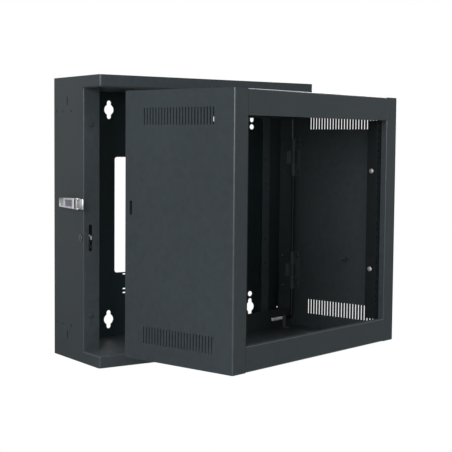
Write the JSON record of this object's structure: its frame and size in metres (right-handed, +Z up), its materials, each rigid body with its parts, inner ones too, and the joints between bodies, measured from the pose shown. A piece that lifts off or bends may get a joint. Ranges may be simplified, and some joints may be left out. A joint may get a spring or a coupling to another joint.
{
  "type": "pivoting wall mount rack",
  "caption": "Dark steel wall rack: a shallow back box fixed to the wall, and a deep centre section with rack rails that swings out sideways on a hinge rod.",
  "frame": {"origin": "centre of the back box on the wall plane", "axes": "+Z up, +Y into the wall, so the front faces -Y, and +X to the right seen from the front"},
  "size_m": [0.6559, 0.5728, 0.621],
  "materials": {
    "powder_coat": "satin",
    "hinge_coat": "satin",
    "zinc": "satin",
    "rubber": "matte"
  },
  "bodies": {
    "backbox": {"rear_panel": "powder_coat", "backbox_side_left": "powder_coat", "backbox_side_right": "powder_coat", "backbox_top": "powder_coat", "backbox_bottom": "powder_coat", "lacing_bar_left": "powder_coat", "lacing_bar_right": "powder_coat", "hinge_leaf_fixed_upper": "hinge_coat", "hinge_leaf_fixed_lower": "hinge_coat", "hinge_fixed_screws": "zinc", "latch_base": "zinc", "latch_rivets": "zinc", "latch_pivots": "zinc", "lock_housing": "zinc", "lock_nut": "zinc", "bumpers": "rubber"},
    "centre": {"centre_side_left": "powder_coat", "centre_side_right": "powder_coat", "centre_top": "powder_coat", "centre_bottom": "powder_coat", "rack_rail_left": "powder_coat", "rack_rail_right": "powder_coat", "rail_bracket_left_upper": "powder_coat", "rail_bracket_left_lower": "powder_coat", "rail_bracket_right_upper": "powder_coat", "rail_bracket_right_lower": "powder_coat", "hinge_leaf_moving_upper": "hinge_coat", "hinge_leaf_moving_lower": "hinge_coat", "rail_screws": "zinc", "hinge_moving_screws": "zinc", "hinge_rod": "zinc", "rod_clip": "zinc", "earth_stud": "zinc", "earth_nut": "zinc"},
    "latch_lever": {"latch_lever": "zinc", "latch_hook_pin": "zinc"},
    "latch_hook": {"latch_hook": "zinc"},
    "lock": {"lock_plug": "zinc", "lock_cam": "zinc", "cam_screw": "zinc"}
  },
  "joints": [
    {"name": "centre_swing", "type": "hinge", "parent": "backbox", "child": "centre", "pos_m": [0.2765, -0.1525, 0], "axis": [0, 0, 1], "range_deg": [-15.3, 84.7]},
    {"name": "latch_lever_turn", "type": "hinge", "parent": "backbox", "child": "latch_lever", "pos_m": [-0.292, -0.131, 0.036], "axis": [0, 0, 1], "range_deg": [0, 110]},
    {"name": "latch_hook_turn", "type": "hinge", "parent": "latch_lever", "child": "latch_hook", "pos_m": [-0.2905, -0.122, 0.036], "axis": [0, 0, 1], "range_deg": [-110, 0]},
    {"name": "lock_turn", "type": "hinge", "parent": "backbox", "child": "lock", "pos_m": [-0.2845, -0.13, -0.038], "axis": [-1, 0, 0], "range_deg": [0, 90]}
  ],
  "couplings": [
    {"joint": "latch_hook_turn", "follows": "latch_lever_turn", "ratio": -1}
  ]
}
